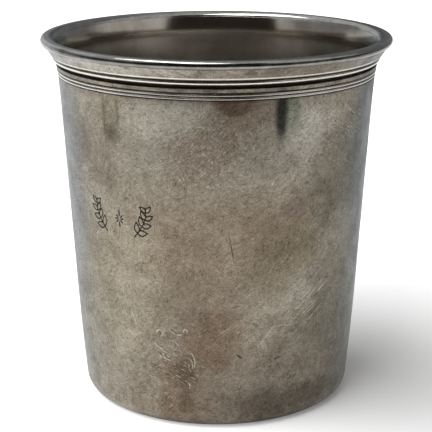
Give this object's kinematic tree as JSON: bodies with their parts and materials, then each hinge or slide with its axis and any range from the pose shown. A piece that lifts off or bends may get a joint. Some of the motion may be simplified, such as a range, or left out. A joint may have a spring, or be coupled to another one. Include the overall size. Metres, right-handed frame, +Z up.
{
  "type": "silver beaker",
  "caption": "Tapered round drinking beaker with a flared mouth and a heavy rounded lip, a reeded collar under the flare and a let-in base on a flat standing ring.",
  "frame": {"origin": "centre of the flat standing ring, on the surface that the cup stands on", "axes": "+Z up along the cup's axis from the base to the mouth, -Y towards the camera of the picture, +X to its right"},
  "size_m": [0.075, 0.075, 0.0786],
  "materials": {
    "wall_silver": "worn, tarnished silver with a satin sheen, fine scratches and small dents",
    "base_silver": "worn silver, turned rings and rub marks",
    "lip_silver": "rubbed bright silver",
    "moulding_silver": "rubbed silver with dark oxide in the grooves"
  },
  "bodies": {
    "root": {"cup_wall": "wall_silver", "base_disc": "base_silver", "lip_wire": "lip_silver", "bead_wire": "moulding_silver", "reed_band": "moulding_silver"}
  },
  "joints": []
}
